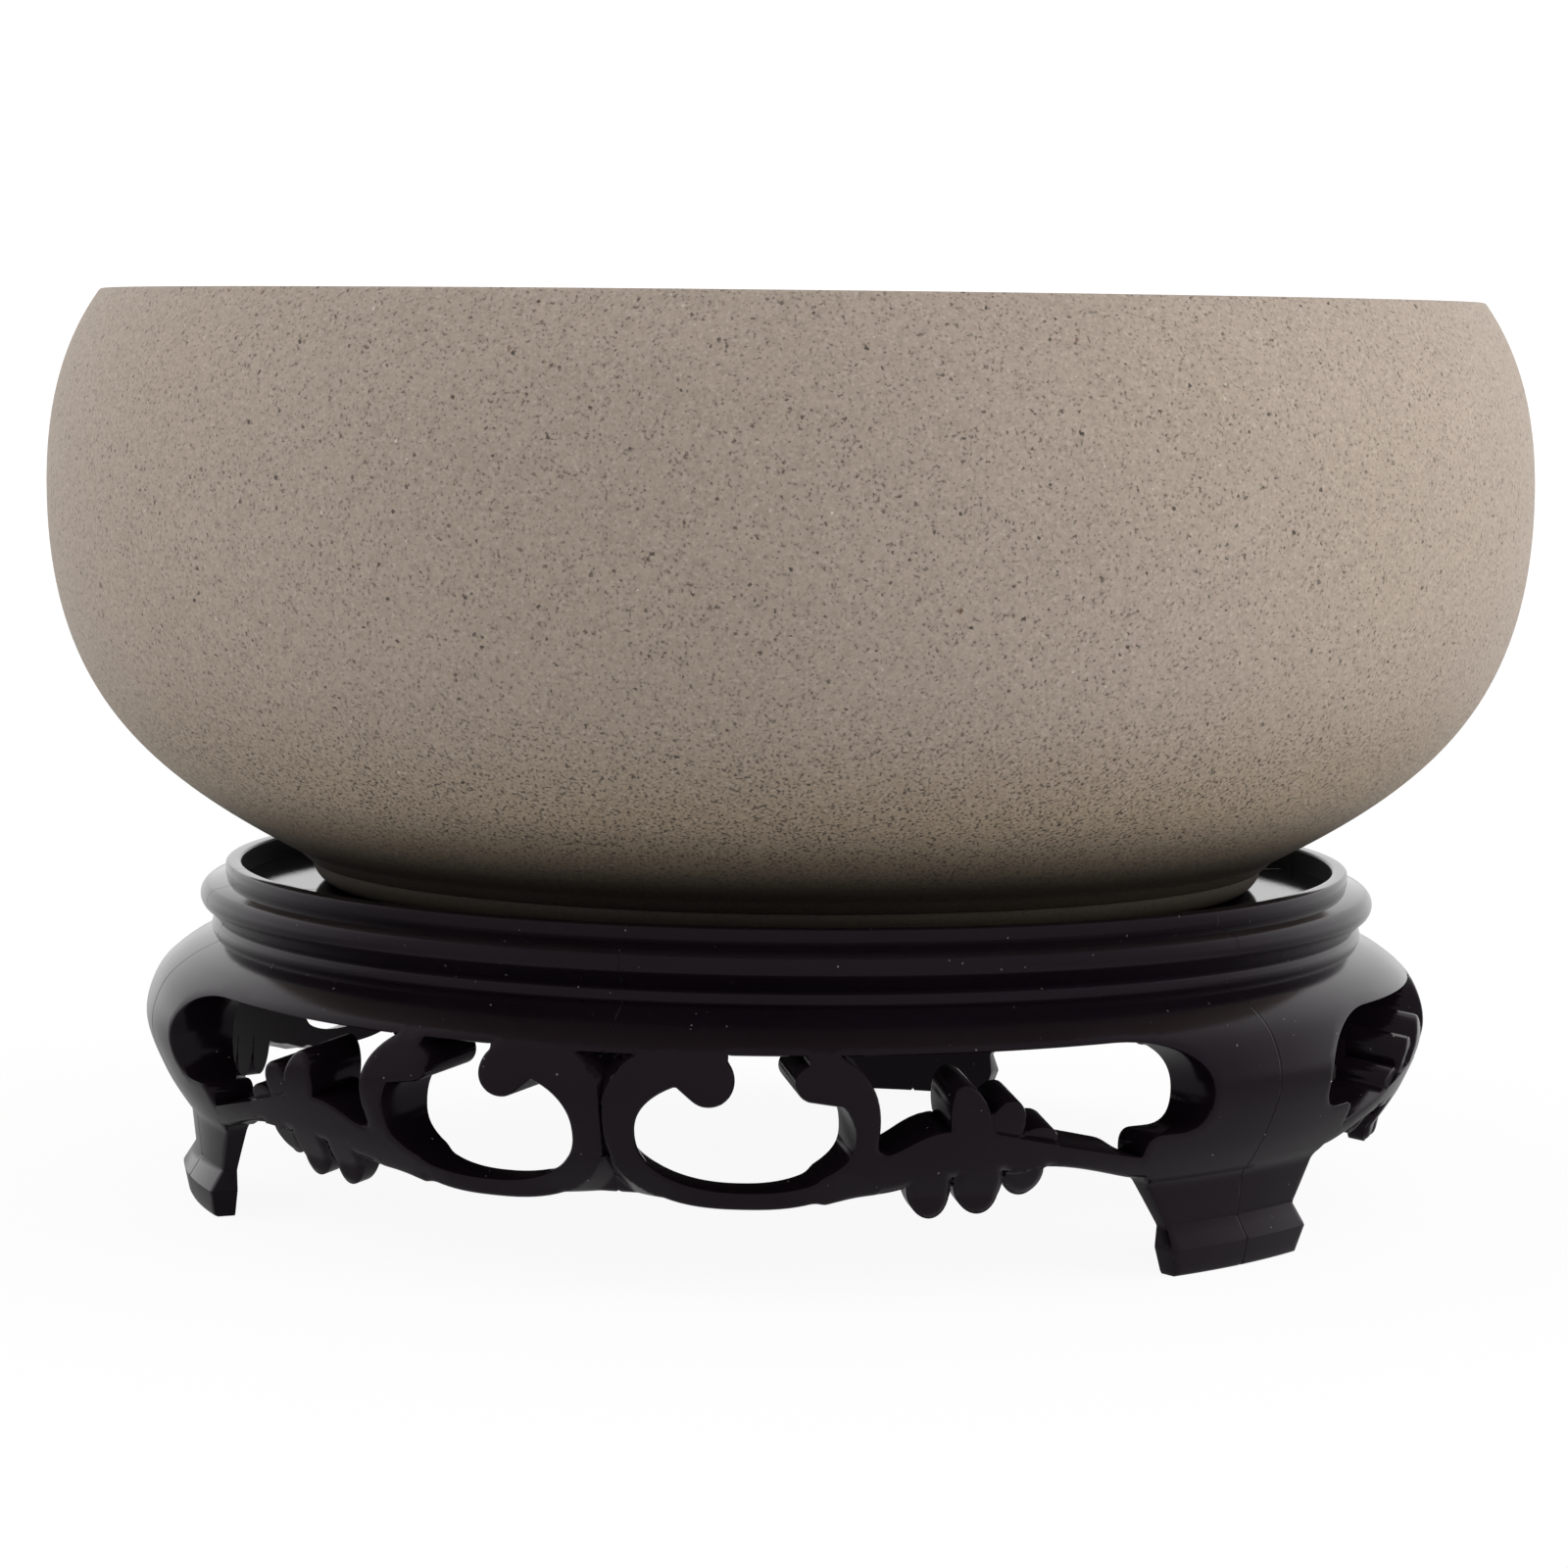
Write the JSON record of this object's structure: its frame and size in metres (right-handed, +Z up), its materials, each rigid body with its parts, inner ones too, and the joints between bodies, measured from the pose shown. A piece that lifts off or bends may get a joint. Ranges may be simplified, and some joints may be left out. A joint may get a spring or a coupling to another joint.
{
  "type": "bowl planter on stand",
  "caption": "Round speckled stoneware planter bowl with an inturned rim and a drain hole, resting loose on a low black moulded stand with openwork scrolls, leaf sprays and curved legs.",
  "frame": {"origin": "on the floor, under the middle of the bowl", "axes": "+Z up out of the bowl; -Y faces the middle of an apron of the stand, so a leg stands at +Y; +X to the right of that apron"},
  "size_m": [0.26, 0.26, 0.1574],
  "materials": {
    "stoneware": "matte, speckled with iron",
    "stand_plastic": "semi-gloss"
  },
  "bodies": {
    "stand": {"stand_right_1": "stand_plastic", "stand_left_1": "stand_plastic", "stand_right_2": "stand_plastic", "stand_left_2": "stand_plastic", "stand_right_3": "stand_plastic", "stand_left_3": "stand_plastic"},
    "bowl": {"bowl": "stoneware"}
  },
  "joints": [
    {"name": "bowl_lift", "type": "slide", "parent": "stand", "child": "bowl", "axis": [0, 0, 1], "range_m": [0, 0.08]}
  ]
}
